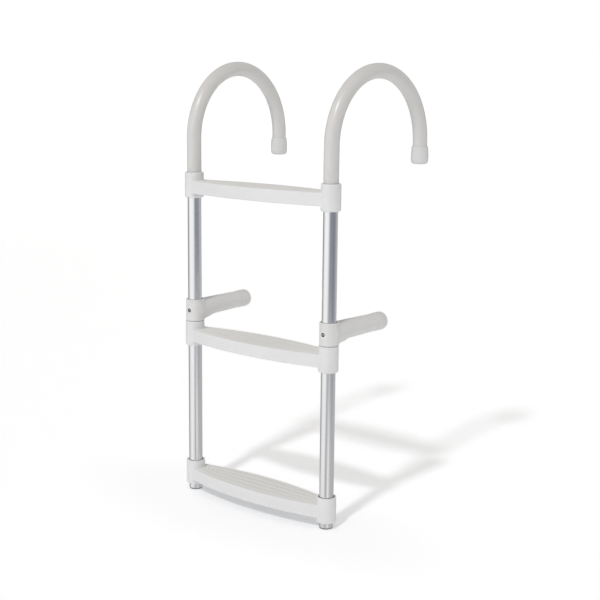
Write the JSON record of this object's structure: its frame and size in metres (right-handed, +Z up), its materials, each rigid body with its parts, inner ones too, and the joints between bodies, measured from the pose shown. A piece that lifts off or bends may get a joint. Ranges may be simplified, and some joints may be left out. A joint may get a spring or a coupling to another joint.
{
  "type": "pool ladder",
  "caption": "Portable hook ladder with one-piece plastic steps on bent tube rails, sleeved hooks and sliding standoff arms.",
  "frame": {"origin": "centre of the bounding box's base, at the level of the feet", "axes": "+Z up along the rails, +Y the way the hooks and standoff arms point, +X to the right seen from the climber's side"},
  "size_m": [0.3682, 0.3029, 0.8097],
  "materials": {
    "step_plastic": "fine moulded texture, off-white",
    "standoff_plastic": "satin moulded white",
    "cap_plastic": "soft satin, pale grey white",
    "tip_rubber": "matt non-marking rubber, pale grey white",
    "sleeve_vinyl": "satin vinyl, warm white",
    "plug_plastic": "matt grey",
    "anodised_aluminium": "bright anodised, lengthwise drawing lines",
    "stainless_steel": "turned stainless",
    "brass": "machined"
  },
  "bodies": {
    "ladder_frame": {"bottom_step": "step_plastic", "middle_step": "step_plastic", "top_step": "step_plastic", "bottom_step_screw_left": "stainless_steel", "bottom_step_screw_right": "stainless_steel", "middle_step_screw_left": "stainless_steel", "middle_step_screw_right": "stainless_steel", "top_step_screw_left": "stainless_steel", "top_step_screw_right": "stainless_steel", "left_rail": "anodised_aluminium", "left_hook_sleeve": "sleeve_vinyl", "left_hook_cap": "cap_plastic", "left_foot_plug": "plug_plastic", "right_rail": "anodised_aluminium", "right_hook_sleeve": "sleeve_vinyl", "right_hook_cap": "cap_plastic", "right_foot_plug": "plug_plastic"},
    "left_standoff_body": {"left_standoff": "standoff_plastic", "left_standoff_tip": "tip_rubber", "left_clamp_nut": "brass"},
    "left_screw_body": {"left_clamp_screw": "stainless_steel"},
    "right_standoff_body": {"right_standoff": "standoff_plastic", "right_standoff_tip": "tip_rubber", "right_clamp_nut": "brass"},
    "right_screw_body": {"right_clamp_screw": "stainless_steel"}
  },
  "joints": [
    {"name": "left_standoff_slide", "type": "slide", "parent": "ladder_frame", "child": "left_standoff_body", "axis": [0, 0, 1], "range_m": [0, 0.19]},
    {"name": "left_clamp_screw_turn", "type": "hinge", "parent": "left_standoff_body", "child": "left_screw_body", "pos_m": [-0.1592, -0.11692, 0.3517], "axis": [0.0349, -0.9994, 0], "range_deg": [0, 720]},
    {"name": "right_standoff_slide", "type": "slide", "parent": "ladder_frame", "child": "right_standoff_body", "axis": [0, 0, 1], "range_m": [0, 0.19]},
    {"name": "right_clamp_screw_turn", "type": "hinge", "parent": "right_standoff_body", "child": "right_screw_body", "pos_m": [0.1592, -0.11692, 0.3517], "axis": [-0.0349, -0.9994, 0], "range_deg": [0, 720]}
  ]
}
